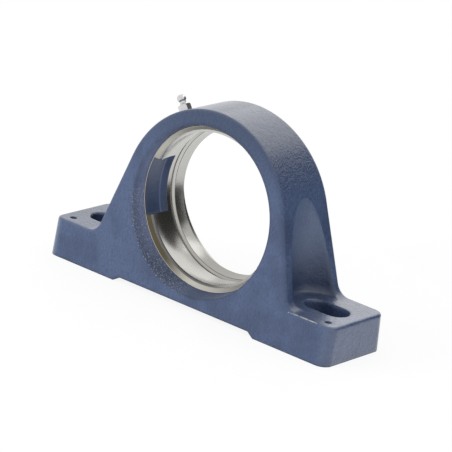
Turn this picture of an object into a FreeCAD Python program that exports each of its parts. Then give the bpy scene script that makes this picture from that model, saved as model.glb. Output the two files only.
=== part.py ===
import FreeCAD, Part
import math
import os
import Sketcher

# Cast pillow block housing for an insert bearing with a spherical outside, and the grease nipple
# screwed into it. Frame: origin in the middle of the footprint on the mounting surface, X along the
# length, Y along the bore from the front (-Y) to the back, Z up. Lengths are in millimetres.

SIZES = (
    ("BaseWidth", 65.0, "width across the machined base"),
    ("FootThickness", 27.6, "height of the bolting face above the base"),
    ("PadInset", 17.05, "run of a machined base pad inside its bolt slot"),
    ("ReliefRun", 5.0, "run of the slope from a pad up into the relief"),
    ("ReliefDepth", 3.5, "height of the relief under the middle of the base"),
    ("CentreHeight", 69.9, "height of the bore axis above the base"),
    ("ArchWall", 15.1, "wall of the arch outside the seat"),
    ("FlankRun", 16.2, "how far a flank's foot stands outside the arch"),
    ("FlankFootRadius", 11.0, "hollow radius from a flank into its foot"),
    ("FaceDraft", 4.6, "lean of the front and back faces, degrees"),
    ("FootCornerRadius", 7.7, "upright corners of the feet"),
    ("CastEdgeRadius", 2.0, "rounding of the cast edges"),
    ("SlotOffset", 10.95, "distance of a bolt slot's centre outside the flank's foot"),
    ("FootEnd", 27.8, "distance from a bolt slot's centre to the end of its foot"),
    ("SlotWidth", 18.0, "width of a bolt slot"),
    ("SlotLength", 34.0, "length of a bolt slot, end to end"),
    ("SlotRimRadius", 1.6, "rounding of the upper rim of a bolt slot"),
    ("PocketRadius", 22.5, "radius of the spanner pocket at the foot"),
    ("PocketDraft", 1.2, "lean of the wall of the spanner pocket, degrees"),
    ("PocketFootRadius", 5.0, "hollow radius from that wall to the foot"),
    ("DimpleDiameter", 5.0, "drill mark for a dowel"),
    ("DimpleDepth", 1.8, "depth of that mark"),
    ("DimpleEndInset", 10.2, "distance of that mark from the end of its foot"),
    ("DimpleFrontInset", 11.2, "distance of that mark from the front of the base"),
    ("SeatDiameter", 110.0, "sphere of the bearing seat"),
    ("RingFront", 17.3, "distance of the machined front rim from the middle"),
    ("RingBack", 18.3, "distance of the machined back rim from the middle"),
    ("CoverStep", 0.2, "step from the seat's radius out to the counterbore for an end cover"),
    ("CoverDepth", 3.7, "depth of that counterbore"),
    ("RimChamfer", 2.6, "bevel at the mouth of the bore"),
    ("RimWidth", 0.4, "flat left on the front rim between that bevel and the recess round it"),
    ("RecessDraft", 8.0, "lean of the wall of that recess, degrees"),
    ("GreaseGrooveOffset", 8.7, "distance of the grease groove behind the middle"),
    ("GreaseGrooveWidth", 5.0, "width of the groove at its mouth"),
    ("GreaseGrooveFloor", 3.0, "width of the groove at its floor"),
    ("GreaseGrooveDepth", 1.7, "depth of the groove"),
    ("FillingSlotHeight", 43.0, "height of a filling slot"),
    ("FillingSlotDepth", 2.6, "depth of a filling slot below the seat's radius"),
    ("FillingSlotEnd", 3.4, "where the ramp of a filling slot runs out, behind the middle"),
    ("FillingSlotRamp", 4.5, "length of that ramp"),
    ("NippleAngle", 35.4, "lean of the grease nipple from upright, degrees"),
    ("NippleOffset", 5.3, "distance of the grease nipple in front of the middle"),
    ("SpotFaceDepth", 0.3, "depth of the nipple's spot face in the arch"),
    ("SpotFaceMargin", 0.88, "clearance of that spot face round the corners of the hexagon"),
    ("ShankRunOut", 2.0, "depth of the tapped hole below the nipple's shank"),
    ("DuctDiameter", 2.4, "duct from the tapped hole into the seat"),
    ("CutReach", 5.0, "how far a cutting profile runs on into the open"),
    ("ShankDiameter", 6.0, "threaded shank of the nipple"),
    ("ShankLength", 6.5, "length of that shank"),
    ("ShankClearance", 0.03, "radial clearance of the shank in its hole"),
    ("HexAcrossFlats", 8.0, "spanner size of the nipple"),
    ("HexHeight", 5.0, "height of the hexagon"),
    ("HexBevel", 30.0, "lean of the bevel on the hexagon's corners, degrees"),
    ("ConeHeight", 1.2, "height of the cone above the hexagon"),
    ("NeckDiameter", 4.6, "neck under the nipple's head"),
    ("HeadDiameter", 6.5, "ball-shaped head of the nipple"),
    ("HeadHeight", 4.6, "height of the head's centre above the hexagon"),
    ("TipHeight", 2.5, "height of the flat tip above the head's centre"),
    ("MouthDiameter", 1.7, "hole in the tip"),
    ("MouthDepth", 0.7, "length of that hole down to the ball's seat"),
    ("NippleBore", 2.7, "bore that holds the ball and its spring"),
    ("LipWidth", 0.6, "width of the rolled lip that holds the spring"),
    ("LipThickness", 0.7, "thickness of that lip"),
    ("BallClearance", 0.1, "radial clearance of the check ball in that bore"),
    ("BallGap", 0.03, "clearance of the ball from its conical seat"),
    ("WireDiameter", 0.3, "wire of the check spring"),
    ("SpringClearance", 0.25, "radial clearance of the check spring in the bore"),
    ("SpringTurns", 9.0, "turns of the check spring"),
    ("SpringGap", 0.05, "end clearance of the check spring"),
)

# What follows from those sizes: the places and radii that pieces and cuts share.

FITS = (
    ("SeatRadius", "Sizes.SeatDiameter / 2"),
    ("CoverRadius", "Fits.SeatRadius + Sizes.CoverStep"),
    ("RimRadius", "Fits.CoverRadius + Sizes.RimChamfer"),
    ("RecessRadius", "Fits.RimRadius + Sizes.RimWidth"),
    ("FillingSlotRadius", "Fits.SeatRadius + Sizes.FillingSlotDepth"),
    ("ArchRadius", "Fits.SeatRadius + Sizes.ArchWall"),
    ("ArchTop", "Sizes.CentreHeight + Fits.ArchRadius"),
    ("FlankFoot", "Fits.ArchRadius + Sizes.FlankRun"),
    ("SlotCentre", "Fits.FlankFoot + Sizes.SlotOffset"),
    ("SlotEndCentre", "(Sizes.SlotLength - Sizes.SlotWidth) / 2"),
    ("FootTip", "Fits.SlotCentre + Sizes.FootEnd"),
    ("PadEdge", "Fits.SlotCentre - Sizes.SlotLength / 2 - Sizes.PadInset"),
    ("DimpleX", "Fits.FootTip - Sizes.DimpleEndInset"),
    ("DimpleY", "Sizes.BaseWidth / 2 - Sizes.DimpleFrontInset"),
    ("GrooveSurface", "sqrt(Fits.SeatRadius ^ 2 - Sizes.GreaseGrooveOffset ^ 2)"),
    ("HexCorner", "Sizes.HexAcrossFlats / 2 / cos(30deg)"),
    ("SpotFaceRadius", "Fits.HexCorner + Sizes.SpotFaceMargin"),
    ("SpotFaceHeight", "Fits.ArchRadius - Sizes.SpotFaceDepth"),
    ("TappedHoleEnd", "Fits.SpotFaceHeight - Sizes.ShankLength - Sizes.ShankRunOut"),
    ("ConeTop", "Sizes.HexHeight + Sizes.ConeHeight"),
    ("HeadCentre", "Sizes.HexHeight + Sizes.HeadHeight"),
    ("Tip", "Fits.HeadCentre + Sizes.TipHeight"),
    ("BallSeat", "Fits.Tip - Sizes.MouthDepth"),
    ("LipTop", "Sizes.LipThickness - Sizes.ShankLength"),
    ("LipRadius", "Sizes.NippleBore / 2 - Sizes.LipWidth"),
    ("BallRadius", "Sizes.NippleBore / 2 - Sizes.BallClearance"),
    ("BallHeight", "Fits.BallSeat + Sizes.MouthDiameter / 2"
                   " - (Fits.BallRadius + Sizes.BallGap) * sqrt(2)"),
    ("CoilRadius", "Sizes.NippleBore / 2 - Sizes.SpringClearance - Sizes.WireDiameter / 2"),
    ("CoilStart", "Fits.LipTop + Sizes.SpringGap + Sizes.WireDiameter / 2"),
    ("CoilEnd", "Fits.BallHeight - sqrt((Fits.BallRadius + Sizes.SpringGap"
                " + Sizes.WireDiameter / 2) ^ 2 - Fits.CoilRadius ^ 2)"),
)

doc = FreeCAD.newDocument("pillow_block_housing")
sheet = doc.addObject("Spreadsheet::Sheet", "Sizes")
for row, (alias, number, note) in enumerate(SIZES, start=1):
    sheet.set(f"A{row}", alias)
    sheet.set(f"B{row}", str(number))
    sheet.set(f"C{row}", note)
    sheet.setAlias(f"B{row}", alias)
fits = doc.addObject("App::VarSet", "Fits")
for alias, formula in FITS:
    fits.addProperty("App::PropertyFloat", alias)
    fits.setExpression(alias, formula)
doc.recompute()


def size(alias):
    """A driving dimension, read back from the sheet."""
    return float(sheet.get(alias))


def fit(alias):
    """A length that follows from the driving dimensions."""
    return getattr(fits, alias)


def tan_of(alias):
    """The tangent of an angle that the sheet holds in degrees."""
    return math.tan(math.radians(size(alias)))


def vec(x, y, z=0.0):
    return FreeCAD.Vector(x, y, z)


def half(alias):
    return size(alias) / 2


# How a sketch numbers its axes and the points of an edge.
X_AXIS, Y_AXIS = range(-1, -3, -1)
START, END, CENTRE = range(1, 4)
ORIGIN = (X_AXIS, START)

TOLERANCE = 0.01
SMALLEST_CHANGE = 0.001


class Profile:
    """A sketch on one of its body's own planes, whose dimensions are bound to the sheet."""

    def __init__(self, body, name, role):
        self.sketch = body.newObject("Sketcher::SketchObject", name)
        plane = next(f for f in body.Origin.OriginFeatures if f.Role == role)
        self.sketch.AttachmentSupport = [(plane, "")]
        self.sketch.MapMode = "FlatFace"

    def shift(self, across="", up="", out=""):
        """Move the sketch along its own axes by expressions on the sheet."""
        for direction, formula in (("x", across), ("y", up), ("z", out)):
            if formula:
                self.sketch.setExpression(f"AttachmentOffset.Base.{direction}", formula)

    def line(self, start, end):
        return self.sketch.addGeometry(Part.LineSegment(vec(*start), vec(*end)), False)

    def circle(self, centre, radius):
        return self.sketch.addGeometry(Part.Circle(vec(*centre), vec(0, 0, 1), radius), False)

    def arc(self, centre, radius, first, last):
        """An arc that runs anticlockwise from angle first to angle last, in radians."""
        circle = Part.Circle(vec(*centre), vec(0, 0, 1), radius)
        return self.sketch.addGeometry(Part.ArcOfCircle(circle, first, last), False)

    def chain(self, points):
        """A closed ring of straight edges through the points."""
        edges = [self.line(a, b) for a, b in zip(points, points[1:] + points[:1])]
        for edge, following in zip(edges, edges[1:] + edges[:1]):
            self.tie("Coincident", edge, END, following, START)
        return edges

    def tie(self, kind, *where):
        return self.sketch.addConstraint(Sketcher.Constraint(kind, *where))

    def measure(self, kind, where, number, formula):
        """A driving dimension that follows a formula on the sheet."""
        index = self.sketch.addConstraint(Sketcher.Constraint(kind, *where, number))
        self.sketch.setExpression(f"Constraints[{index}]", formula)

    def place(self, edge, end, across, up):
        """Fix one end of an edge at distances from the origin, on the side where it was drawn."""
        point = self.sketch.getPoint(edge, end)
        for kind, axis, number, formula in (("DistanceX", Y_AXIS, point.x, across),
                                            ("DistanceY", X_AXIS, point.y, up)):
            if not formula:
                self.tie("PointOnObject", edge, end, axis)
            elif number > 0:
                self.measure(kind, (*ORIGIN, edge, end), number, formula)
            else:
                self.measure(kind, (edge, end, *ORIGIN), -number, formula)

    def place_all(self, edges, across, up):
        """Place the start of each edge."""
        for edge, x, y in zip(edges, across, up):
            self.place(edge, START, x, y)


def new_body(label):
    body = doc.addObject("PartDesign::Body", label)
    body.Label = label
    return body


def volume_of(body):
    return body.Shape.Volume


def extrude(body, kind, name, profile, **settings):
    """A Pad or a Pocket, which has to change the body's volume."""
    before = volume_of(body) if body.Tip else 0.0
    feature = body.newObject(f"PartDesign::{kind}", name)
    feature.Profile = profile.sketch
    for key, setting in settings.items():
        setattr(feature, key, setting)
    doc.recompute()
    check_change(body, name, before, kind in ("Pad", "Revolution"))
    return feature


def revolve(body, kind, name, profile, axis, **settings):
    """A Revolution or a Groove about one of the sketch's own axes."""
    return extrude(body, kind, name, profile, ReferenceAxis=(profile.sketch, [axis]), **settings)


def check_change(body, name, before, grows):
    change = volume_of(body) - before
    if (change > 0) != grows or abs(change) < SMALLEST_CHANGE:
        raise RuntimeError(f"{name} changes the volume by {change:.3f}")


def mirror(body, name, feature):
    """The same feature on the other side of the body's YZ plane."""
    before = volume_of(body)
    copy = body.newObject("PartDesign::Mirrored", name)
    plane = next(f for f in body.Origin.OriginFeatures if f.Role == "YZ_Plane")
    copy.Originals = [feature]
    copy.MirrorPlane = (plane, [""])
    body.Tip = copy
    doc.recompute()
    check_change(body, name, before, False)


def round_edges(body, name, radius_alias, wanted):
    """A Fillet on the edges of the body for which wanted(edge) is true."""
    base, before = body.Tip, volume_of(body)
    names = [f"Edge{i}" for i, edge in enumerate(base.Shape.Edges, start=1) if wanted(edge)]
    if not names:
        raise RuntimeError(f"{name} finds no edge")
    fillet = body.newObject("PartDesign::Fillet", name)
    fillet.Base = (base, names)
    fillet.setExpression("Radius", f"Sizes.{radius_alias}")
    doc.recompute()
    if abs(volume_of(body) - before) < SMALLEST_CHANGE:
        raise RuntimeError(f"{name} leaves the edges sharp")


# The casting: a foot plate, the arch over it, sloping faces and rounded edges.

housing = new_body("housing")


def foot_plate():
    foot = Profile(housing, "foot_outline", "XZ_Plane")
    tip, pad, top = fit("FootTip"), fit("PadEdge"), size("FootThickness")
    relief, depth = pad - size("ReliefRun"), size("ReliefDepth")
    edges = foot.chain([(-tip, 0), (-pad, 0), (-relief, depth), (relief, depth),
                        (pad, 0), (tip, 0), (tip, top), (-tip, top)])
    relief_formula = "Fits.PadEdge - Sizes.ReliefRun"
    across = ["Fits.FootTip", "Fits.PadEdge", relief_formula, relief_formula,
              "Fits.PadEdge", "Fits.FootTip", "Fits.FootTip", "Fits.FootTip"]
    up = ["", "", "Sizes.ReliefDepth", "Sizes.ReliefDepth",
          "", "", "Sizes.FootThickness", "Sizes.FootThickness"]
    foot.place_all(edges, across, up)
    plate = extrude(housing, "Pad", "foot_plate", foot, Midplane=True, Length=size("BaseWidth"))
    plate.setExpression("Length", "Sizes.BaseWidth")


def arch():
    outline = Profile(housing, "arch_outline", "XZ_Plane")
    flank, top = fit("FlankFoot"), size("FootThickness")
    radius, height = fit("ArchRadius"), size("CentreHeight")
    reach = math.hypot(flank, height - top)
    lean = math.acos(radius / reach) - math.atan2(height - top, flank)
    touch = (radius * math.cos(lean), height + radius * math.sin(lean))
    root = outline.line((-flank, top), (flank, top))
    right = outline.line((flank, top), touch)
    crown = outline.arc((0, height), radius, lean, math.pi - lean)
    left = outline.line((-touch[0], touch[1]), (-flank, top))
    outline.tie("Coincident", root, END, right, START)
    outline.tie("Tangent", right, END, crown, START)
    outline.tie("Tangent", crown, END, left, START)
    outline.tie("Coincident", left, END, root, START)
    outline.place(root, START, "Fits.FlankFoot", "Sizes.FootThickness")
    outline.place(root, END, "Fits.FlankFoot", "Sizes.FootThickness")
    outline.place(crown, CENTRE, "", "Sizes.CentreHeight")
    outline.measure("Radius", (crown,), radius, "Fits.ArchRadius")
    block = extrude(housing, "Pad", "arch", outline, Midplane=True, Length=size("BaseWidth"))
    block.setExpression("Length", "Sizes.BaseWidth")


def sloping_faces():
    """Cut the front and back faces so that both lean inwards towards the top."""
    above = "(Fits.ArchTop + Sizes.CutReach)"
    foot, top = half("BaseWidth"), fit("ArchTop") + size("CutReach")
    for name, side in (("front_slope", -1), ("back_slope", 1)):
        wedge = Profile(housing, name + "_outline", "YZ_Plane")
        inset = foot - top * tan_of("FaceDraft")
        slope, upper, outer = wedge.chain([(side * foot, 0), (side * inset, top), (side * foot, top)])
        wedge.place(slope, START, "Sizes.BaseWidth / 2", "")
        wedge.place(upper, START, f"Sizes.BaseWidth / 2 - {above} * tan(Sizes.FaceDraft * 1deg)", above)
        wedge.tie("Horizontal", upper)
        wedge.tie("Vertical", outer)
        extrude(housing, "Pocket", name, wedge, Type="ThroughAll", Midplane=True)


def between(number, low, high):
    return low - TOLERANCE < number < high + TOLERANCE


def same(number, other):
    return between(number, other, other)


def ends_and_middle(edge):
    first, last = edge.FirstParameter, edge.LastParameter
    return [edge.valueAt(parameter) for parameter in (first, (first + last) / 2, last)]


def is_flank_foot(edge):
    """The hollow corner where a flank stands on its foot."""
    return all(same(abs(p.x), fit("FlankFoot")) and same(p.z, size("FootThickness"))
               for p in ends_and_middle(edge))


def is_foot_corner(edge):
    """An upright corner of a foot."""
    heights = [p.z for p in ends_and_middle(edge)]
    return (all(same(abs(p.x), fit("FootTip")) for p in ends_and_middle(edge))
            and same(min(heights), 0) and same(max(heights), size("FootThickness")))


def is_cast_edge(edge):
    """The outline of the casting above the feet, on its front and back, and the feet's top ends."""
    points, top = ends_and_middle(edge), size("FootThickness")
    corner = fit("FootTip") - size("FootCornerRadius")
    on_end = all(same(p.z, top) and abs(p.x) > corner - TOLERANCE for p in points)
    on_slope = all(same(abs(p.y) + p.z * tan_of("FaceDraft"), half("BaseWidth")) for p in points)
    return on_end or (on_slope and min(p.z for p in points) > top - TOLERANCE)


def is_slot_rim(edge):
    """The upper edge of a bolt slot."""
    low, high = (fit("SlotCentre") + sign * half("SlotLength") for sign in (-1, 1))
    return all(same(p.z, size("FootThickness")) and between(abs(p.x), low, high)
               and between(abs(p.y), 0, half("SlotWidth")) for p in ends_and_middle(edge))


def spanner_pockets():
    """The round pockets over the bolt slots that leave room for a bolt head and a spanner."""
    pocket = Profile(housing, "spanner_pocket_outline", "XZ_Plane")
    pocket.shift(across="Fits.SlotCentre - Fits.SlotEndCentre")
    floor, hollow, top = size("FootThickness"), size("PocketFootRadius"), fit("ArchTop")
    lean = math.radians(size("PocketDraft"))
    centre = (size("PocketRadius") - hollow, floor + hollow)
    foot = (centre[0] + hollow * math.cos(lean), centre[1] - hollow * math.sin(lean))
    mouth = (foot[0] + (top - foot[1]) * math.tan(lean), top)
    base = pocket.line((0, floor), (centre[0], floor))
    round_foot = pocket.arc(centre, hollow, -math.pi / 2, -lean)
    wall = pocket.line(foot, mouth)
    lid = pocket.line(mouth, (0, top))
    axis = pocket.line((0, top), (0, floor))
    pocket.tie("Tangent", base, END, round_foot, START)
    pocket.tie("Tangent", round_foot, END, wall, START)
    for edge, following in ((wall, lid), (lid, axis), (axis, base)):
        pocket.tie("Coincident", edge, END, following, START)
    pocket.tie("Horizontal", base)
    pocket.tie("Horizontal", lid)
    pocket.place(axis, START, "", "Fits.ArchTop")
    pocket.place(axis, END, "", "Sizes.FootThickness")
    pocket.measure("DistanceX", (*ORIGIN, round_foot, CENTRE), centre[0],
                   "Sizes.PocketRadius - Sizes.PocketFootRadius")
    pocket.measure("Radius", (round_foot,), hollow, "Sizes.PocketFootRadius")
    pocket.measure("Angle", (wall,), math.pi / 2 - lean, "90deg - Sizes.PocketDraft * 1deg")
    right = revolve(housing, "Groove", "spanner_pocket_right", pocket, "V_Axis")
    mirror(housing, "spanner_pocket_left", right)


def bolt_slots():
    slot = Profile(housing, "bolt_slot_outline", "XY_Plane")
    slot.shift(across="Fits.SlotCentre")
    radius, run = half("SlotWidth"), fit("SlotEndCentre")
    near = slot.line((-run, -radius), (run, -radius))
    right = slot.arc((run, 0), radius, -math.pi / 2, math.pi / 2)
    far = slot.line((run, radius), (-run, radius))
    left = slot.arc((-run, 0), radius, math.pi / 2, 3 * math.pi / 2)
    for edge, following in ((near, right), (right, far), (far, left), (left, near)):
        slot.tie("Tangent", edge, END, following, START)
    slot.tie("Horizontal", near)
    slot.place(right, CENTRE, "Fits.SlotEndCentre", "")
    slot.measure("DistanceX", (left, CENTRE, *ORIGIN), run, "Fits.SlotEndCentre")
    slot.measure("Radius", (right,), radius, "Sizes.SlotWidth / 2")
    cut = extrude(housing, "Pocket", "bolt_slot_right", slot, Type="ThroughAll", Midplane=True)
    mirror(housing, "bolt_slot_left", cut)


def dowel_marks():
    marks = Profile(housing, "dowel_mark_outline", "XY_Plane")
    marks.shift(out="Sizes.FootThickness")
    for side in (-1, 1):
        ring = marks.circle((side * fit("DimpleX"), -fit("DimpleY")), half("DimpleDiameter"))
        marks.place(ring, CENTRE, "Fits.DimpleX", "Fits.DimpleY")
        marks.measure("Radius", (ring,), half("DimpleDiameter"), "Sizes.DimpleDiameter / 2")
    cut = extrude(housing, "Pocket", "dowel_marks", marks, Length=size("DimpleDepth"))
    cut.setExpression("Length", "Sizes.DimpleDepth")


def bearing_seat():
    """Revolve the bore: front recess, cover counterbore, spherical seat and back recess."""
    seat = Profile(housing, "seat_outline", "YZ_Plane")
    seat.shift(up="Sizes.CentreHeight")
    front, back, face = size("RingFront"), size("RingBack"), half("BaseWidth")
    recess, rim, cover = fit("RecessRadius"), fit("RimRadius"), fit("CoverRadius")
    ball, shoulder, bevel = fit("SeatRadius"), front - size("CoverDepth"), size("RimChamfer")
    lip, tail = math.sqrt(ball ** 2 - shoulder ** 2), math.sqrt(ball ** 2 - back ** 2)
    wall = tan_of("RecessDraft")
    before = [(-face, 0), (-face, recess + (face - front) * wall), (-front, recess),
              (-front, rim), (bevel - front, cover), (-shoulder, cover), (-shoulder, lip)]
    after = [(back, tail), (back, recess), (face, recess + (face - back) * wall), (face, 0)]
    mouth, chamber = ([seat.line(a, b) for a, b in zip(points, points[1:] + end)]
                      for points, end in ((before, []), (after, before[:1])))
    sphere = seat.arc((0, 0), ball, math.atan2(tail, back), math.atan2(lip, -shoulder))
    for edge, following in zip(mouth, mouth[1:]):
        seat.tie("Coincident", edge, END, following, START)
    for edge, following in zip(chamber, chamber[1:] + mouth[:1]):
        seat.tie("Coincident", edge, END, following, START)
    seat.tie("Coincident", mouth[-1], END, sphere, END)
    seat.tie("Coincident", sphere, START, chamber[0], START)
    seat.tie("Coincident", sphere, CENTRE, *ORIGIN)
    seat.measure("Radius", (sphere,), ball, "Fits.SeatRadius")
    edge_of_face, wide = "Sizes.BaseWidth / 2", "tan(Sizes.RecessDraft * 1deg)"
    seat.place_all(
        mouth,
        [edge_of_face, edge_of_face, "Sizes.RingFront", "Sizes.RingFront",
         "Sizes.RingFront - Sizes.RimChamfer", "Sizes.RingFront - Sizes.CoverDepth"],
        ["", f"Fits.RecessRadius + ({edge_of_face} - Sizes.RingFront) * {wide}",
         "Fits.RecessRadius", "Fits.RimRadius",
         "Fits.CoverRadius", "Fits.CoverRadius"])
    seat.tie("Vertical", mouth[-1])
    seat.tie("Vertical", chamber[0])
    seat.place_all(
        chamber[1:],
        ["Sizes.RingBack", edge_of_face, edge_of_face],
        ["Fits.RecessRadius", f"Fits.RecessRadius + ({edge_of_face} - Sizes.RingBack) * {wide}", ""])
    revolve(housing, "Groove", "bearing_seat", seat, "H_Axis")


def grease_groove():
    """The ring groove in the rear half of the seat, which holds spare grease."""
    ring = Profile(housing, "grease_groove_outline", "YZ_Plane")
    ring.shift(across="Sizes.GreaseGrooveOffset", up="Sizes.CentreHeight")
    mouth, floor, surface = half("GreaseGrooveWidth"), half("GreaseGrooveFloor"), fit("GrooveSurface")
    bottom, inside = surface + size("GreaseGrooveDepth"), surface - size("CutReach")
    edges = ring.chain([(-mouth, inside), (mouth, inside), (mouth, surface), (floor, bottom),
                        (-floor, bottom), (-mouth, surface)])
    at_mouth, at_floor = "Sizes.GreaseGrooveWidth / 2", "Sizes.GreaseGrooveFloor / 2"
    in_the_open, in_the_wall = ("Fits.GrooveSurface - Sizes.CutReach",
                                "Fits.GrooveSurface + Sizes.GreaseGrooveDepth")
    ring.place_all(edges, [at_mouth, at_mouth, at_mouth, at_floor, at_floor, at_mouth],
                   [in_the_open, in_the_open, "Fits.GrooveSurface", in_the_wall, in_the_wall,
                    "Fits.GrooveSurface"])
    revolve(housing, "Groove", "grease_groove", ring, "H_Axis")


def filling_slots():
    """Two hollows in the front half of the seat, through which the insert goes in sideways."""
    slot = Profile(housing, "filling_slot_outline", "XY_Plane")
    slot.shift(out="Sizes.CentreHeight")
    floor, end, ramp = fit("FillingSlotRadius"), size("FillingSlotEnd"), size("FillingSlotRamp")
    seat_at_end = math.sqrt(fit("SeatRadius") ** 2 - end ** 2)
    front, inside = size("RingFront"), fit("SeatRadius") - size("CutReach")
    edges = slot.chain([(inside, -front), (floor, -front), (floor, end - ramp),
                        (2 * seat_at_end - floor, end + ramp), (inside, end + ramp)])
    open_side, run_out = "Fits.SeatRadius - Sizes.CutReach", "Sizes.FillingSlotEnd + Sizes.FillingSlotRamp"
    slot.place_all(
        edges,
        [open_side, "Fits.FillingSlotRadius", "Fits.FillingSlotRadius",
         "2 * sqrt(Fits.SeatRadius ^ 2 - Sizes.FillingSlotEnd ^ 2) - Fits.FillingSlotRadius", open_side],
        ["Sizes.RingFront", "Sizes.RingFront", "Sizes.FillingSlotRamp - Sizes.FillingSlotEnd",
         run_out, run_out])
    angle = 2 * math.degrees(math.asin(half("FillingSlotHeight") / floor))
    right = revolve(housing, "Groove", "filling_slot_right", slot, "V_Axis", Midplane=True, Angle=angle)
    right.setExpression("Angle", "2 * asin(Sizes.FillingSlotHeight / 2 / Fits.FillingSlotRadius)")
    mirror(housing, "filling_slot_left", right)


def nipple_hole():
    """Spot face, tapped hole and duct, on the leaning axis of the grease nipple."""
    hole = Profile(housing, "nipple_hole_outline", "XZ_Plane")
    hole.shift(up="Sizes.CentreHeight", out="Sizes.NippleOffset")
    hole.sketch.setExpression("AttachmentOffset.Rotation.Angle", "Sizes.NippleAngle * 1deg")
    spot, bottom = fit("SpotFaceHeight"), fit("TappedHoleEnd")
    above, inside = spot + size("CutReach"), fit("SeatRadius") - size("CutReach")
    wide, thread, duct = fit("SpotFaceRadius"), half("ShankDiameter"), half("DuctDiameter")
    edges = hole.chain([(0, inside), (duct, inside), (duct, bottom), (thread, bottom), (thread, spot),
                        (wide, spot), (wide, above), (0, above)])
    inner_end, outer_end = "Fits.SeatRadius - Sizes.CutReach", "Fits.SpotFaceHeight + Sizes.CutReach"
    hole.place_all(
        edges,
        ["", "Sizes.DuctDiameter / 2", "Sizes.DuctDiameter / 2", "Sizes.ShankDiameter / 2",
         "Sizes.ShankDiameter / 2", "Fits.SpotFaceRadius", "Fits.SpotFaceRadius", ""],
        [inner_end, inner_end, "Fits.TappedHoleEnd", "Fits.TappedHoleEnd",
         "Fits.SpotFaceHeight", "Fits.SpotFaceHeight", outer_end, outer_end])
    revolve(housing, "Groove", "nipple_hole", hole, "V_Axis")


foot_plate()
arch()
round_edges(housing, "flank_foot_hollows", "FlankFootRadius", is_flank_foot)
sloping_faces()
round_edges(housing, "foot_corners", "FootCornerRadius", is_foot_corner)
round_edges(housing, "cast_edges", "CastEdgeRadius", is_cast_edge)
spanner_pockets()
bolt_slots()
round_edges(housing, "slot_rims", "SlotRimRadius", is_slot_rim)
dowel_marks()
bearing_seat()
grease_groove()
filling_slots()
nipple_hole()


# The grease nipple with its check ball and spring. Each body's own Z runs out along the nipple, from
# the spot face on the arch.


def stand_on_spot_face(body):
    body.Placement = FreeCAD.Placement(vec(0, 0), FreeCAD.Rotation(vec(0, -1), size("NippleAngle")))
    radius, lean = "Fits.SpotFaceHeight", "Sizes.NippleAngle * 1deg"
    body.setExpression("Placement.Rotation.Angle", lean)
    body.setExpression("Placement.Base.x", f"-{radius} * sin({lean})")
    body.setExpression("Placement.Base.y", "-Sizes.NippleOffset")
    body.setExpression("Placement.Base.z", f"Sizes.CentreHeight + {radius} * cos({lean})")


def hexagon():
    outline = Profile(grease_nipple, "hexagon_outline", "XY_Plane")
    corner = fit("HexCorner")
    angles = [math.radians(30 + 60 * step) for step in range(6)]
    edges = outline.chain([(corner * math.cos(a), corner * math.sin(a)) for a in angles])
    guide = outline.circle((0, 0), corner)
    outline.sketch.toggleConstruction(guide)
    outline.tie("Coincident", guide, CENTRE, *ORIGIN)
    outline.measure("Radius", (guide,), corner, "Fits.HexCorner")
    for edge in edges:
        outline.tie("PointOnObject", edge, START, guide)
    for edge in edges[1:]:
        outline.tie("Equal", edges[0], edge)
    outline.tie("PointOnObject", edges[1], START, Y_AXIS)
    nut = extrude(grease_nipple, "Pad", "hexagon", outline, Length=size("HexHeight"))
    nut.setExpression("Length", "Sizes.HexHeight")


def hexagon_bevel():
    """Take the corners off the top of the hexagon."""
    bevel = Profile(grease_nipple, "hexagon_bevel_outline", "XZ_Plane")
    flat, top, reach = half("HexAcrossFlats"), size("HexHeight"), size("CutReach")
    fall = reach * tan_of("HexBevel")
    edges = bevel.chain([(flat, top), (flat + reach, top - fall), (flat + reach, top)])
    flat_side = "Sizes.HexAcrossFlats / 2"
    outside = f"{flat_side} + Sizes.CutReach"
    bevel.place_all(edges, [flat_side, outside, outside],
                    ["Sizes.HexHeight",
                     "Sizes.HexHeight - Sizes.CutReach * tan(Sizes.HexBevel * 1deg)",
                     "Sizes.HexHeight"])
    revolve(grease_nipple, "Groove", "hexagon_bevel", bevel, "V_Axis")


def shank_and_head():
    """Everything of the nipple that is turned: shank, cone, neck, ball-shaped head and flat tip."""
    turned = Profile(grease_nipple, "turned_outline", "XZ_Plane")
    shank = half("ShankDiameter") - size("ShankClearance")
    neck, head = half("NeckDiameter"), half("HeadDiameter")
    low, top, cone = -size("ShankLength"), size("HexHeight"), fit("ConeTop")
    middle, tip = fit("HeadCentre"), fit("Tip")
    waist, flat = math.sqrt(head ** 2 - neck ** 2), math.sqrt(head ** 2 - (tip - middle) ** 2)
    points = [(0, low), (shank, low), (shank, top), (neck + cone - top, top), (neck, cone),
              (neck, middle - waist)]
    lower = [turned.line(a, b) for a, b in zip(points, points[1:])]
    ball = turned.arc((0, middle), head, math.atan2(-waist, neck), math.atan2(tip - middle, flat))
    face = turned.line((flat, tip), (0, tip))
    axis = turned.line((0, tip), (0, low))
    for edge, following in zip(lower + [ball, face, axis], lower[1:] + [ball, face, axis, lower[0]]):
        turned.tie("Coincident", edge, END, following, START)
    shank_side = "Sizes.ShankDiameter / 2 - Sizes.ShankClearance"
    neck_side = "Sizes.NeckDiameter / 2"
    turned.place_all(lower, ["", shank_side, shank_side, f"{neck_side} + Sizes.ConeHeight", neck_side],
                     ["Sizes.ShankLength", "Sizes.ShankLength", "Sizes.HexHeight", "Sizes.HexHeight",
                      "Fits.ConeTop"])
    turned.tie("Vertical", lower[-1])
    turned.place(ball, CENTRE, "", "Fits.HeadCentre")
    turned.measure("Radius", (ball,), head, "Sizes.HeadDiameter / 2")
    turned.tie("Horizontal", face)
    turned.place(face, END, "", "Fits.Tip")
    revolve(grease_nipple, "Revolution", "shank_and_head", turned, "V_Axis")


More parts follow.
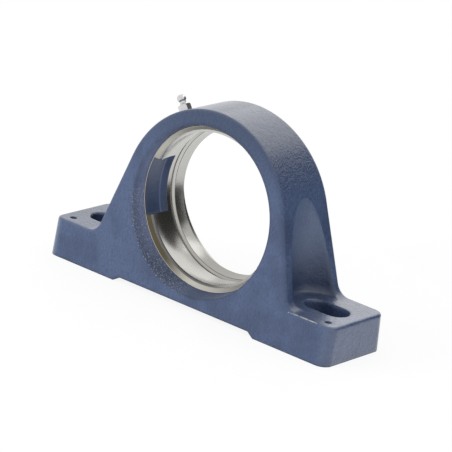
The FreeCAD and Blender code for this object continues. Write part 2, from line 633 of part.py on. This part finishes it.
def nipple_bore():
    """Mouth, conical ball seat, bore for ball and spring, and the rolled lip at the lower end."""
    bore = Profile(grease_nipple, "nipple_bore_outline", "XZ_Plane")
    mouth, wide, lip = half("MouthDiameter"), half("NippleBore"), fit("LipRadius")
    tip, low, seat, ledge = fit("Tip"), -size("ShankLength"), fit("BallSeat"), fit("LipTop")
    edges = bore.chain([(0, tip), (mouth, tip), (mouth, seat), (wide, seat - (wide - mouth)),
                        (wide, ledge), (lip, ledge), (lip, low), (0, low)])
    mouth_side, bore_side = "Sizes.MouthDiameter / 2", "Sizes.NippleBore / 2"
    bore.place_all(edges,
                   ["", mouth_side, mouth_side, bore_side, bore_side, "Fits.LipRadius",
                    "Fits.LipRadius", ""],
                   ["Fits.Tip", "Fits.Tip", "Fits.BallSeat",
                    f"Fits.BallSeat - {bore_side} + {mouth_side}", "-Fits.LipTop", "-Fits.LipTop",
                    "Sizes.ShankLength", "Sizes.ShankLength"])
    revolve(grease_nipple, "Groove", "nipple_bore", bore, "V_Axis")


def check_ball():
    """The ball sits just clear of its conical seat."""
    outline = Profile(nipple_check_ball, "ball_outline", "XZ_Plane")
    radius, height = fit("BallRadius"), fit("BallHeight")
    side = outline.arc((0, height), radius, -math.pi / 2, math.pi / 2)
    axis = outline.line((0, height + radius), (0, height - radius))
    outline.tie("Coincident", side, END, axis, START)
    outline.tie("Coincident", axis, END, side, START)
    outline.tie("PointOnObject", axis, START, Y_AXIS)
    outline.tie("PointOnObject", axis, END, Y_AXIS)
    outline.tie("PointOnObject", side, CENTRE, axis)
    outline.measure("DistanceY", (*ORIGIN, side, CENTRE), height, "Fits.BallHeight")
    outline.measure("Radius", (side,), radius, "Fits.BallRadius")
    revolve(nipple_check_ball, "Revolution", "ball", outline, "V_Axis")


def check_spring():
    """The spring stands on the rolled lip and its last turn carries the ball."""
    wire = Profile(nipple_spring, "wire_outline", "XZ_Plane")
    ring = wire.circle((fit("CoilRadius"), fit("CoilStart")), half("WireDiameter"))
    wire.place(ring, CENTRE, "Fits.CoilRadius", "-Fits.CoilStart")
    wire.measure("Radius", (ring,), half("WireDiameter"), "Sizes.WireDiameter / 2")
    helix = nipple_spring.newObject("PartDesign::AdditiveHelix", "coil")
    helix.Profile = wire.sketch
    helix.ReferenceAxis = (wire.sketch, ["V_Axis"])
    helix.Mode = "height-turns-angle"
    helix.setExpression("Height", "Fits.CoilEnd - Fits.CoilStart")
    helix.setExpression("Turns", "Sizes.SpringTurns")
    doc.recompute()
    check_change(nipple_spring, "coil", 0.0, True)


grease_nipple = new_body("grease_nipple")
hexagon()
hexagon_bevel()
shank_and_head()
nipple_bore()
nipple_check_ball = new_body("nipple_check_ball")
check_ball()
nipple_spring = new_body("nipple_spring")
check_spring()
for piece in (grease_nipple, nipple_check_ball, nipple_spring):
    stand_on_spot_face(piece)
doc.recompute()

# Every object has to be sound before the files are written.

for item in doc.Objects:
    if {"Invalid", "Error"} & set(item.State):
        raise RuntimeError(f"{item.Name} is {item.State}")
os.makedirs("parts", exist_ok=True)
for piece in (housing, grease_nipple, nipple_check_ball, nipple_spring):
    shape = piece.Shape
    if shape.isNull() or not shape.isValid() or len(shape.Solids) != 1:
        raise RuntimeError(f"{piece.Label} is no single sound solid")
    shape.exportStep(f"parts/{piece.Label}.step")
    print(f"{piece.Label}: {shape.Volume / 1000:.4f} cm3, {len(shape.Faces)} faces")
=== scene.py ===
# %% [markdown]
# # A cast pillow block housing with its grease nipple
#
# The real object is one iron casting, painted blue-grey, that holds an insert bearing of 60 mm
# bore. Only the bore, the base pads and the nipple's seat are machined. This first cell loads the
# solids of the part. They are the measured shape, so everything here is laid over them.

# %% Load the solids
import math

import bpy
from mathutils import Matrix, Vector


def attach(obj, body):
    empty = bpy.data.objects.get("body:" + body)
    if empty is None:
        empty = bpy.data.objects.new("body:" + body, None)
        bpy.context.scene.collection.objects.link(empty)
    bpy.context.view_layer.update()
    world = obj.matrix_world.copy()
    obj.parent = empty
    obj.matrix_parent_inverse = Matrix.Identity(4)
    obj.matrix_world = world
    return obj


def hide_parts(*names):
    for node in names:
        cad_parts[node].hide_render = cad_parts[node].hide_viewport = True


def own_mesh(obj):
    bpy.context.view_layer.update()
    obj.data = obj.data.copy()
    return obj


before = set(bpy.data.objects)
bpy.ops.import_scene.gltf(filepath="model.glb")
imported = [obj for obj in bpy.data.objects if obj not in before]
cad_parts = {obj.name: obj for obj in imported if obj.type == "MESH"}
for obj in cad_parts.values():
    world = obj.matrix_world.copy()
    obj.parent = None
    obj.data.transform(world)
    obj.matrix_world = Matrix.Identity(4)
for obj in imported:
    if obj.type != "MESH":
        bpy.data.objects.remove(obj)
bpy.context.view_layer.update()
MM = 0.001
print("nodes:", sorted(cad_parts))

# %% [markdown]
# ## Shader maths that reads like maths
#
# A finish is a web of nodes. Wiring each node by hand hides the idea, so `Signal` wraps one
# output socket and turns `+`, `*` and `<` into Math nodes. `NodeWeb` has one method, `add`, that
# makes any other node: its settings go in first, then what feeds its sockets. Materials use both,
# and so does the world.

# %% Signals and webs of nodes


class Signal:
    """An output socket in a web of nodes. Arithmetic on it adds Math nodes."""

    def __init__(self, web, socket):
        self.web = web
        self.socket = socket

    def maths(self, operation, *values):
        return self.web.add("ShaderNodeMath", {"operation": operation}, dict(enumerate(values)))

    def __add__(self, other):
        return self.maths("ADD", self, other)

    def __radd__(self, other):
        return self.maths("ADD", other, self)

    def __sub__(self, other):
        return self.maths("SUBTRACT", self, other)

    def __rsub__(self, other):
        return self.maths("SUBTRACT", other, self)

    def __mul__(self, other):
        return self.maths("MULTIPLY", self, other)

    def __rmul__(self, other):
        return self.maths("MULTIPLY", other, self)

    def __lt__(self, other):
        return self.maths("LESS_THAN", self, other)

    def __gt__(self, other):
        return self.maths("GREATER_THAN", self, other)

    def __abs__(self):
        return self.maths("ABSOLUTE", self)

    def larger(self, other):
        return self.maths("MAXIMUM", self, other)

    def sqrt(self):
        return self.maths("SQRT", self)

    def rise(self, start, end):
        """0 before start, 1 after end, with a smooth step between them."""
        return self.web.add("ShaderNodeMapRange", {"interpolation_type": "SMOOTHSTEP"},
                            {"Value": self, "From Min": start, "From Max": end})

    def fall(self, start, end):
        """1 before start, 0 after end, with a smooth step between them."""
        return (self * -1).rise(-end, -start)


class NodeWeb:
    """The nodes of a material or a world, and the one way to add another."""

    def __init__(self, owner):
        owner.use_nodes = True
        self.nodes = owner.node_tree.nodes
        self.links = owner.node_tree.links

    def add(self, kind, settings=None, inputs=None, output=0):
        node = self.nodes.new(kind)
        for name, value in (settings or {}).items():
            setattr(node, name, value)
        self.feed(node, inputs or {})
        return Signal(self, node.outputs[output])

    def feed(self, node, inputs):
        for name, value in inputs.items():
            if isinstance(value, Signal):
                self.links.new(value.socket, node.inputs[name])
            else:
                node.inputs[name].default_value = value


known = [name.strip("_") for name, made in vars(Signal).items() if callable(made)]
print("a signal knows:", ", ".join(known))

# %% [markdown]
# ## What a finish is made of
#
# Paint and metal differ in colour, gloss and relief, but they are built from the same few things:
# lumps of noise, lines left by a tool, and masks that blend one colour into the next. Pictures
# could hold all that, but noise has no seams and stays sharp from any distance. `Finish` gives
# each of these a name.

# %% Finishes
MIX_SOCKETS = {"RGBA": (0, 6, 7, 2), "VECTOR": (0, 4, 5, 1)}


class Finish(NodeWeb):
    """A material, and the nodes that give it its colour, gloss and relief."""

    def __init__(self, name):
        self.material = bpy.data.materials.new(name)
        super().__init__(self.material)
        self.surface = self.nodes["Principled BSDF"]

    def mix(self, factor, first, second, kind="RGBA"):
        """Blend two colours, or two vectors."""
        share, a, b, result = MIX_SOCKETS[kind]
        return self.add("ShaderNodeMix", {"data_type": kind},
                        {share: factor, a: first, b: second}, result)

    def coats(self, base, *coats):
        """Lay colours over the base, one after the other, each through its own mask."""
        for mask, colour in coats:
            base = self.mix(mask, base, colour)
        return base

    def place(self):
        """The point's place in the part's own frame, in millimetres."""
        point = self.add("ShaderNodeTexCoord", output="Object")
        return self.add("ShaderNodeVectorMath", {"operation": "SCALE"},
                        {0: point, "Scale": 1 / MM})

    def axes(self, vector):
        """The x, y and z of a vector."""
        return [self.add("ShaderNodeSeparateXYZ", inputs={0: vector}, output=axis)
                for axis in ("X", "Y", "Z")]

    def noise(self, where, size, detail=2.0, roughness=0.5):
        """Lumps of about that size in millimetres, from 0 to 1."""
        return self.add("ShaderNodeTexNoise", inputs={"Vector": where, "Scale": 1 / size,
                                                      "Detail": detail, "Roughness": roughness})

    def rings(self, along, size, detail=2.0):
        """Lines that change only with one number, as a lathe tool leaves them."""
        return self.add("ShaderNodeTexNoise", {"noise_dimensions": "1D"},
                        {"W": along * (1 / size), "Detail": detail})

    def relief(self, height, depth, base=None):
        """Turn a height from 0 to 1 into dents of that depth in millimetres."""
        dents = {"Height": height, "Distance": depth * MM, "Strength": 1.0}
        if base:
            dents["Normal"] = base
        return self.add("ShaderNodeBump", inputs=dents)

    def soft_edges(self, radius):
        """Normals that turn slowly over each edge, as under a thick coat."""
        return self.add("ShaderNodeBevel", {"samples": 8}, {"Radius": radius * MM})

    def done(self, **inputs):
        self.feed(self.surface, {name.replace("_", " "): value for name, value in inputs.items()})
        return self.material


def grey(level):
    return (level, level, level, 1.0)


print("a finish can:", ", ".join(name for name in vars(Finish) if not name.startswith("_")))

# %% [markdown]
# ## Where the casting is machined
#
# On the real housing the paint stops where a tool has cut: in the bore, round the nipple and
# under the base. Two materials on separate faces could do this, but the tool's edge runs across
# the faces of the solid, so one finish holds both and a mask picks between them. The mask is
# worked out from the sizes of the bore. Each limit reaches a hair past the cut, so that the small
# flats of the mesh stay inside it.

# %% Mask of the machined places, in millimetres
BORE_HEIGHT = 69.9
SEAT_RADIUS = 55.0
RIM_RADIUS = 57.95
FRONT_RIM, BACK_RIM = -17.35, 18.35
RECESS_RADIUS = 60.9
COUNTERBORE_RADIUS = 55.2
COUNTERBORE_END = -13.5
FILLING_SLOT_END = 3.4
FILLING_SLOT_HALF = 21.55
NIPPLE_LEAN = math.radians(35.4)
NIPPLE_Y = -5.3
SPOT_FACE_RADIUS = 5.6
SPOT_FACE_FROM, SPOT_FACE_TO = 54.0, 70.0
SEAT_HAIR, RIM_HAIR, PAD_HAIR = 0.04, 0.1, 0.05


def machined_places(x, y, z, radius, wobble):
    """1 where a tool has cut the casting, 0 where the paint stays, as in the filling slots."""
    up = z - BORE_HEIGHT
    bore = (radius + wobble < RIM_RADIUS) * (y > FRONT_RIM) * (y < BACK_RIM)
    seat = (SEAT_RADIUS ** 2 - y * y).sqrt() + SEAT_HAIR
    bevel = RIM_RADIUS - abs(y - FRONT_RIM)
    in_front = (y < COUNTERBORE_END)
    turned = seat * (1 - in_front) + bevel.larger(COUNTERBORE_RADIUS + RIM_HAIR) * in_front
    slot = (radius > turned) * (y < FILLING_SLOT_END) * (abs(up) < FILLING_SLOT_HALF)
    along = x * -math.sin(NIPPLE_LEAN) + up * math.cos(NIPPLE_LEAN)
    across = x * math.cos(NIPPLE_LEAN) + up * math.sin(NIPPLE_LEAN)
    aside = y - NIPPLE_Y
    off_axis = (across * across + aside * aside).sqrt()
    nipple_seat = (off_axis < SPOT_FACE_RADIUS) * (along > SPOT_FACE_FROM) * (along < SPOT_FACE_TO)
    back_recess = (radius < RECESS_RADIUS) * (y > BACK_RIM - RIM_HAIR)
    return (bore * (1 - slot)).larger(back_recess).larger(nipple_seat).larger(z < PAD_HAIR)


print("bore cut from y =", FRONT_RIM, "to", BACK_RIM, "mm, inside a radius of", RIM_RADIUS, "mm")

# %% [markdown]
# ## The grain of the casting
#
# Sand leaves the iron grainy, and one coat of enamel only softens that. The grain could be cut
# into the mesh, but that would take millions of faces, so lumps of noise in the shader do. Wide
# ones are the mould's, narrow ones are the sand's. The sand also makes the edge of the paint a
# little ragged.

# %% Grain and place on the casting
SAND, FINE_SAND, MOULD, CLOUDS = 1.8, 0.8, 6.0, 22.0
RAGGED = 0.3
RECESS_END = FRONT_RIM + 1.0

casting = Finish("painted_casting")
spot = casting.place()
x, y, z = casting.axes(spot)
up = z - BORE_HEIGHT
radius = (x * x + up * up).sqrt()
sand = casting.noise(spot, SAND, roughness=0.6)
fine_sand = casting.noise(spot, FINE_SAND, roughness=0.7)
mould = casting.noise(spot, MOULD)
clouds = casting.noise(spot, CLOUDS)
machined = machined_places(x, y, z, radius, (sand - 0.5) * RAGGED)
outside_bore = (radius > RIM_RADIUS)
in_recess = outside_bore * (radius < RECESS_RADIUS) * (y < RECESS_END)
print(f"lumps of {FINE_SAND}, {SAND} and {MOULD} mm, and clouds of {CLOUDS} mm")

# %% [markdown]
# ## The paint
#
# The enamel is one colour, but it shows darker in faint clouds of random tone, and darker high up
# on the arch as painted shade. It is paler beside the recess on the left and along the ramps of
# the filling slots as painted light, and a few pale specks low in the recess are painted glints.
# One flat colour would look like plastic, so each of these is a mask with its own colour.

# %% Thin and thick paint
PAINT = (0.061, 0.097, 0.199, 1.0)
PAINT_CLOUDED_AND_SHADED = (0.026, 0.049, 0.112, 1.0)
PAINT_LIT = (0.170, 0.225, 0.400, 1.0)
GLINT_PALE = (0.58, 0.59, 0.62, 1.0)
CLOUD_BAND, CLOUD_SHARE = (0.35, 0.7), 0.7
TOP_SHADE_HEIGHTS = (85.0, 135.0)
LIT_SIDE, LIT_RADII = (-55.0, -25.0), (58.4, 60.2)
RAMP_START, RAMP_EDGE, RAMP_SHARE = -1.4, 0.7, 0.6
GLINT_BAND, GLINT_SHARE = (0.56, 0.66), 0.9
GLINT_SIDE, GLINT_HEIGHTS = (-15.0, 5.0), (64.0, 74.0)

# Darker in random clouds of tone, and darker high on the arch as painted shade.
clouds_and_top_shade = (clouds.rise(*CLOUD_BAND) * CLOUD_SHARE).larger(z.rise(*TOP_SHADE_HEIGHTS))
# A paler wall left of the recess and paler bands along the filling slot ramps are painted light.
ramp_highlight = (1 - outside_bore) * (abs(y - RAMP_START) < RAMP_EDGE) * RAMP_SHARE
painted_light_on_recess_and_ramps = (in_recess * x.fall(*LIT_SIDE) * radius.fall(*LIT_RADII)).larger(ramp_highlight)
# Pale specks low in the recess on the left are painted glints.
glint_corner = z.fall(*GLINT_HEIGHTS) * x.fall(*GLINT_SIDE) * GLINT_SHARE
painted_glints = in_recess * fine_sand.rise(*GLINT_BAND) * glint_corner
# The printed heights are where the painted shade on the arch starts and ends.
print("the coat thins out from", TOP_SHADE_HEIGHTS[0], "to", TOP_SHADE_HEIGHTS[1], "mm up")

# %% [markdown]
# ## The spanner pockets and a painted edge highlight
#
# Over each foot a hollow leaves room for the spanner. It was out of the brush's way, so it is
# smoother than the rest. It is painted paler at its top and darker in its foot, as painted light
# and shade. The mask is a slightly leaning cylinder about the bolt. A pale line along the upper
# front edge of the right foot is a painted highlight.

# %% Spanner pockets and painted edge highlight
PAINT_PIT = (0.032, 0.056, 0.128, 1.0)
POCKET_LIT = (0.092, 0.130, 0.222, 1.0)
POCKET_SHADED = (0.030, 0.048, 0.102, 1.0)
EDGE_HIGHLIGHT = (0.60, 0.59, 0.55, 1.0)
FOOT_TOP = 27.6
POCKET_CENTRE, POCKET_RADIUS, POCKET_LEAN = 89.25, 22.5, math.radians(1.2)
POCKET_HAIR, POCKET_FLOOR = 0.3, 0.4
POCKET_SHADE_HEIGHTS = (32.0, 72.0)
PIT_BAND, PIT_SHARE, PIT_SHARE_IN_POCKET = (0.30, 0.55), 0.6, 0.2
HIGHLIGHT_HEIGHT, HIGHLIGHT_HALF, HIGHLIGHT_FRONT = FOOT_TOP - 0.25, 0.2, -20.0
HIGHLIGHT_FROM, HIGHLIGHT_TO = 87.5, 112.0
HIGHLIGHT_BAND, HIGHLIGHT_SHARE = (0.3, 0.6), 0.8

beside = abs(x) - POCKET_CENTRE
wall = (z - FOOT_TOP) * math.tan(POCKET_LEAN) + POCKET_RADIUS
in_pocket = ((beside * beside + y * y).sqrt() < wall + POCKET_HAIR) * (z > FOOT_TOP + POCKET_FLOOR)
# Painted light at the top of each pocket and painted shade in its foot.
pocket_light_and_shade = casting.mix(z.rise(*POCKET_SHADE_HEIGHTS), POCKET_SHADED, POCKET_LIT)
pit_share = PIT_SHARE - in_pocket * (PIT_SHARE - PIT_SHARE_IN_POCKET)
pits = sand.fall(*PIT_BAND) * outside_bore * (1 - in_recess) * pit_share

# A pale line along the upper front edge of the right foot is a painted highlight.
on_edge = (abs(z - HIGHLIGHT_HEIGHT) < HIGHLIGHT_HALF) * (y < HIGHLIGHT_FRONT)
on_foot = (x > HIGHLIGHT_FROM) * (x < HIGHLIGHT_TO)
painted_edge_highlight = on_edge * on_foot * sand.rise(*HIGHLIGHT_BAND) * HIGHLIGHT_SHARE
paint_colour = casting.coats(
    PAINT, (clouds_and_top_shade, PAINT_CLOUDED_AND_SHADED), (painted_light_on_recess_and_ramps, PAINT_LIT), (in_pocket, pocket_light_and_shade),
    (pits, PAINT_PIT), (painted_edge_highlight, EDGE_HIGHLIGHT), (painted_glints, GLINT_PALE))
print("pockets", 2 * POCKET_RADIUS, "mm across stand", POCKET_CENTRE, "mm from the middle")

# %% [markdown]
# ## The turned iron
#
# A tool leaves fine lines round the seat, so a noise that changes only along the tool's way
# stands for them. The lower half of the bore is painted darker, as painted shade in its
# reflection. The bevel in front stays brown at the lower left, and its outer edge is coloured a
# bright gold.

# %% Turned iron
STEEL = (0.58, 0.575, 0.555, 1.0)
STEEL_MARKED_AND_SHADED = (0.37, 0.36, 0.335, 1.0)
BEVEL_PALE = (0.62, 0.60, 0.54, 1.0)
BEVEL_BROWN = (0.115, 0.100, 0.068, 1.0)
EDGE_GOLD = (0.78, 0.71, 0.56, 1.0)
TOOL_STEP, TOOL_SLANT = 0.9, 0.3
LINE_BAND, LINE_SHARE, LOW_SHADE_SHARE = (0.3, 0.7), 0.3, 0.7
LOW_SHADE_HEIGHTS = (BORE_HEIGHT - 45.0, BORE_HEIGHT + 25.0)
BROWN_SIDE, BROWN_HEIGHTS = (-35.0, -5.0), (65.0, 105.0)
BEVEL_END, EDGE_RADIUS = COUNTERBORE_END + 0.02, 57.65

tool_lines = casting.rings(y + radius * TOOL_SLANT, TOOL_STEP, detail=1.0)
bevel = (y < BEVEL_END) * (radius > COUNTERBORE_RADIUS)
edge = (y < BEVEL_END) * (radius > EDGE_RADIUS)
# Tool marks, plus painted shade that darkens the lower half of the bore.
tool_marks_and_low_shade = tool_lines.rise(*LINE_BAND) * LINE_SHARE + z.fall(*LOW_SHADE_HEIGHTS) * LOW_SHADE_SHARE
brown = x.fall(*BROWN_SIDE) * z.fall(*BROWN_HEIGHTS)
bevel_colour = casting.mix(brown, BEVEL_PALE, BEVEL_BROWN)
steel_colour = casting.coats(
    STEEL, (tool_marks_and_low_shade, STEEL_MARKED_AND_SHADED), (bevel, bevel_colour), (edge, EDGE_GOLD))
print("the tool left lines about", TOOL_STEP, "mm apart")

# %% [markdown]
# ## Paint and iron in one finish
#
# The mask of the machined places now picks colour, gloss and relief at once. Enamel flows over an
# edge and rounds it, which normals from a Bevel node show, while turned iron keeps its crisp
# edges. A clear coat lies where the paint faces up and on the ends of the feet, where it caught
# the light.

# %% Painted casting
EDGE_ROUND, COAT_ROUND = 4.5, 6.0
COAT_FACING, COAT_ENDS, COAT_SHARE = (0.40, 0.95), (115.5, 121.0), 0.8
PAINT_ROUGH, SAND_ROUGH = 0.32, 0.10
IRON_ROUGH, LINE_ROUGH, BEVEL_ROUGH = 0.19, 0.06, 0.2
MOULD_SHARE, RECESS_SAND, TOOL_SHARE, RELIEF_DEPTH = 0.9, 0.8, 0.008, 0.8
GRAIN_IN_POCKET, GRAIN_IN_BORE = 0.4, 0.3

crisp = casting.add("ShaderNodeNewGeometry", output="Normal")
facing_up = casting.axes(casting.soft_edges(COAT_ROUND))[2]
glossy_coat = facing_up.rise(*COAT_FACING).larger(abs(x).rise(*COAT_ENDS) * COAT_SHARE)
softened = ((1 - in_pocket * (1 - GRAIN_IN_POCKET))
            * (outside_bore * (1 - GRAIN_IN_BORE) + GRAIN_IN_BORE))
grain = (sand + mould * MOULD_SHARE) * softened + in_recess * fine_sand * RECESS_SAND
height = (1 - machined) * grain + machined * tool_lines * TOOL_SHARE
paint_rough = sand * SAND_ROUGH + PAINT_ROUGH
iron_rough = tool_lines * LINE_ROUGH + bevel * BEVEL_ROUGH + IRON_ROUGH
edges = casting.mix(machined, casting.soft_edges(EDGE_ROUND), crisp, "VECTOR")
painted_casting = casting.done(
    Base_Color=casting.mix(machined, paint_colour, steel_colour),
    Metallic=machined,
    Roughness=(1 - machined) * paint_rough + machined * iron_rough,
    Coat_Weight=(1 - machined) * (1 - in_recess) * glossy_coat,
    Coat_Roughness=0.25,
    IOR=1.58,
    Normal=casting.relief(height, RELIEF_DEPTH, edges),
)
print("painted casting:", len(casting.nodes), "nodes")

# %% [markdown]
# ## The small steel pieces
#
# The nipple is turned from bar and bright zinc plated, its ball is polished and its spring is
# drawn wire. All three are metal with fine marks, and differ only in colour, gloss and how deep
# the marks are, so one function makes them.

# %% Zinc, polished steel and wire
MARK_BAND, MARK_ROUGH = (0.35, 0.75), 0.12


def bright_metal(name, colour, tool_marks_and_low_shade, rough, mark_size, mark_depth):
    """Metal with fine marks. Their size and depth are in millimetres."""
    metal = Finish(name)
    marks = metal.noise(metal.place(), mark_size, detail=3.0, roughness=0.6)
    return metal.done(
        Base_Color=metal.mix(marks.rise(*MARK_BAND), colour, tool_marks_and_low_shade),
        Metallic=1.0,
        Roughness=rough + marks * MARK_ROUGH,
        Normal=metal.relief(marks, mark_depth),
    )


zinc = bright_metal("zinc_plate", (0.70, 0.70, 0.71, 1.0), (0.54, 0.54, 0.55, 1.0),
                    rough=0.18, mark_size=0.6, mark_depth=0.02)
polished = bright_metal("polished_steel", (0.72, 0.72, 0.73, 1.0), (0.60, 0.60, 0.62, 1.0),
                        rough=0.06, mark_size=0.3, mark_depth=0.002)
wire = bright_metal("spring_wire", (0.55, 0.54, 0.52, 1.0), (0.42, 0.41, 0.40, 1.0),
                    rough=0.25, mark_size=0.2, mark_depth=0.005)
print("metals:", zinc.name, polished.name, wire.name)

# %% [markdown]
# ## Finishes onto the solids
#
# Each solid came in with one grey finish. That slot takes the new finish, and the mesh under it
# stays as it was measured.

# %% Give each solid its finish
FINISHES = {
    "housing": painted_casting,
    "grease_nipple": zinc,
    "nipple_check_ball": polished,
    "nipple_spring": wire,
}
for name, finish in FINISHES.items():
    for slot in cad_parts[name].material_slots:
        slot.material = finish
    print(name, "is finished in", finish.name)

# %% [markdown]
# ## The spring behind the ball
#
# When grease pushes the check ball in, the real coil shortens by as much as the ball moves. The
# solid is one rigid helix, so a copy of its mesh stands for it here, and the solid is hidden.

# %% Spring copied from the solid
spring = bpy.data.objects.new("coil_spring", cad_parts["nipple_spring"].data.copy())
bpy.context.scene.collection.objects.link(spring)
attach(spring, "body")
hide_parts("nipple_spring")
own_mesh(spring)

# %% [markdown]
# ## The table
#
# The housing stands on a pale table. A plain matt one would turn grey away from the lamps, so to
# the camera and in reflections it also glows. It stays white that way and still keeps the shadow.

# %% Table
HALF_TABLE = 6.0
TABLE_CLOUDS = 60.0
TABLE_GLOW, GLOW_SHARE = 1.07, 0.82


def show_rays(web):
    """1 for rays from the camera and for rays that a polished or clear surface sends on."""
    camera_ray, glossy_ray, clear_ray = (
        web.add("ShaderNodeLightPath", output=name)
        for name in ("Is Camera Ray", "Is Glossy Ray", "Is Transmission Ray"))
    return camera_ray.larger(glossy_ray).larger(clear_ray)


def flat_mesh(name, corners, material):
    mesh = bpy.data.meshes.new(name)
    mesh.from_pydata(corners, [], [range(len(corners))])
    mesh.materials.append(material)
    made = bpy.data.objects.new(name, mesh)
    bpy.context.scene.collection.objects.link(made)
    return made


def table_finish():
    board = Finish("pale_table")
    shade = board.noise(board.place(), TABLE_CLOUDS)
    board.done(Base_Color=board.mix(shade, grey(0.82), grey(0.86)), Roughness=0.75)
    glow = board.add("ShaderNodeEmission", inputs={"Color": grey(1.0), "Strength": TABLE_GLOW})
    matt = Signal(board, board.surface.outputs[0])
    both = board.add("ShaderNodeMixShader",
                     inputs={0: show_rays(board) * GLOW_SHARE, 1: matt, 2: glow})
    board.feed(board.nodes["Material Output"], {"Surface": both})
    return board.material


flat_mesh("table", [(sx * HALF_TABLE, sy * HALF_TABLE, 0.0)
                    for sx, sy in ((-1, -1), (1, -1), (1, 1), (-1, 1))], table_finish())
print("the table is", 2 * HALF_TABLE, "m wide")

# %% [markdown]
# ## The white room
#
# The photograph has a white background, but a world that white would light the object flat. So
# the world is two in one: white for whatever the camera or a polished surface sees, and dimmer
# for the light that falls on the object.

# %% World
ROOM_LIGHT, ROOM_SHOWN = 0.60, 1.0
DAYLIGHT = (0.97, 0.98, 1.0, 1.0)
world = bpy.data.worlds.new("white_room")
bpy.context.scene.world = world
room = NodeWeb(world)
lit = room.add("ShaderNodeBackground", inputs={"Color": DAYLIGHT, "Strength": ROOM_LIGHT})
seen = room.add("ShaderNodeBackground", inputs={"Color": grey(1.0), "Strength": ROOM_SHOWN})
lit_or_seen = room.add("ShaderNodeMixShader", inputs={0: show_rays(room), 1: lit, 2: seen})
room.feed(room.nodes["World Output"], {"Surface": lit_or_seen})
print("the room lights the object at", ROOM_LIGHT, "and shows itself at", ROOM_SHOWN)

# %% [markdown]
# ## A dark cloth for the reflections
#
# Bright metal shows whatever stands round it, and in an all-white room it looks like plaster. The
# bore in the photograph mirrors something dark at the right, so a dark cloth lies and hangs
# there. Only reflections see it: it takes no light from the table and stays out of the picture.

# %% Dark cloth
CLOTH_NEAR = ((0.0, 0.20, MM), (0.36, 0.09, MM))
CLOTH_FAR = ((1.27, 0.29, MM), (0.18, 1.29, MM))
CLOTH_HEIGHT = 0.95
FELT_CLOUDS = 40.0

felt = Finish("dark_felt")
shade = felt.noise(felt.place(), FELT_CLOUDS)
felt.done(Base_Color=felt.mix(shade, grey(0.030), grey(0.045)), Roughness=0.95)
cloth_top = tuple((east, north, CLOTH_HEIGHT) for east, north, _ in reversed(CLOTH_FAR))
for name, corners in (("cloth_on_table", CLOTH_NEAR + CLOTH_FAR),
                      ("cloth_hanging", CLOTH_FAR + cloth_top)):
    sheet = flat_mesh(name, corners, felt.material)
    sheet.visible_camera = False
    sheet.visible_diffuse = False
    sheet.visible_shadow = False
print("the cloth hangs", CLOTH_HEIGHT, "m high")

# %% [markdown]
# ## The lamps
#
# The room itself gives the even light. A softbox overhead and one at the back on the left are
# what the tops of the feet and the arch mirror as a pale sheen. Two more lift the web and the
# right end. They are kept out of the reflections, or they would burn white patches into the bore.

# %% Lamps
MIDDLE = Vector((0.0, 0.0, 0.06))


def softbox(name, place, width, height, watts, mirrored=True):
    """A lamp turned to the middle of the object. Its sizes are in metres."""
    lamp = bpy.data.lights.new(name, "AREA")
    lamp.shape = "RECTANGLE"
    lamp.size = width
    lamp.size_y = height
    lamp.energy = watts
    made = bpy.data.objects.new(name, lamp)
    bpy.context.scene.collection.objects.link(made)
    made.location = place
    made.rotation_euler = (MIDDLE - Vector(place)).to_track_quat("-Z", "Y").to_euler()
    made.visible_glossy = mirrored


softbox("overhead_softbox", (0.38, 0.65, 1.30), 0.6, 0.6, 1.3)
softbox("back_left_softbox", (-0.39, 1.36, 0.75), 1.1, 1.0, 1.8)
softbox("front_left_softbox", (-0.9, -1.4, 0.5), 1.2, 0.8, 17.0, mirrored=False)
softbox("right_softbox", (1.5, 0.1, 0.15), 1.0, 0.5, 5.0, mirrored=False)

# %% [markdown]
# ## The camera
#
# A camera placed by eye never quite agrees with the photograph, so this one was worked out from
# the edges of the bore, the arch and the feet: turned 37 degrees to the right of the bore's axis,
# 19 degrees above it, and rolled by 8 degrees.

# %% Camera
YAW, PITCH, ROLL = (math.radians(angle) for angle in (36.594, 18.616, 8.366))
AIM = Vector((3.6, 0.0, 56.1)) * MM
RANGE = 2070.4 * MM
FOCAL_PIXELS, FRAME_PIXELS, SENSOR = 3004.67, 452.0, 36.0

back = Vector((math.sin(YAW) * math.cos(PITCH), -math.cos(YAW) * math.cos(PITCH), math.sin(PITCH)))
level = (-back).cross(Vector((0, 0, 1))).normalized()
steep = level.cross(-back)
sideways = level * math.cos(ROLL) + steep * math.sin(ROLL)
upright = steep * math.cos(ROLL) - level * math.sin(ROLL)
lens = bpy.data.cameras.new("camera")
lens.sensor_width = SENSOR
lens.lens = FOCAL_PIXELS / FRAME_PIXELS * SENSOR
camera = bpy.data.objects.new("camera", lens)
bpy.context.scene.collection.objects.link(camera)
turn = Matrix((sideways, upright, back)).transposed().to_4x4()
camera.matrix_world = Matrix.Translation(AIM + back * RANGE) @ turn
bpy.context.scene.camera = camera
bpy.context.scene.view_settings.view_transform = "Standard"
print("camera at", [round(v, 3) for v in camera.location], "m, lens", round(lens.lens, 1), "mm")

# %% [markdown]
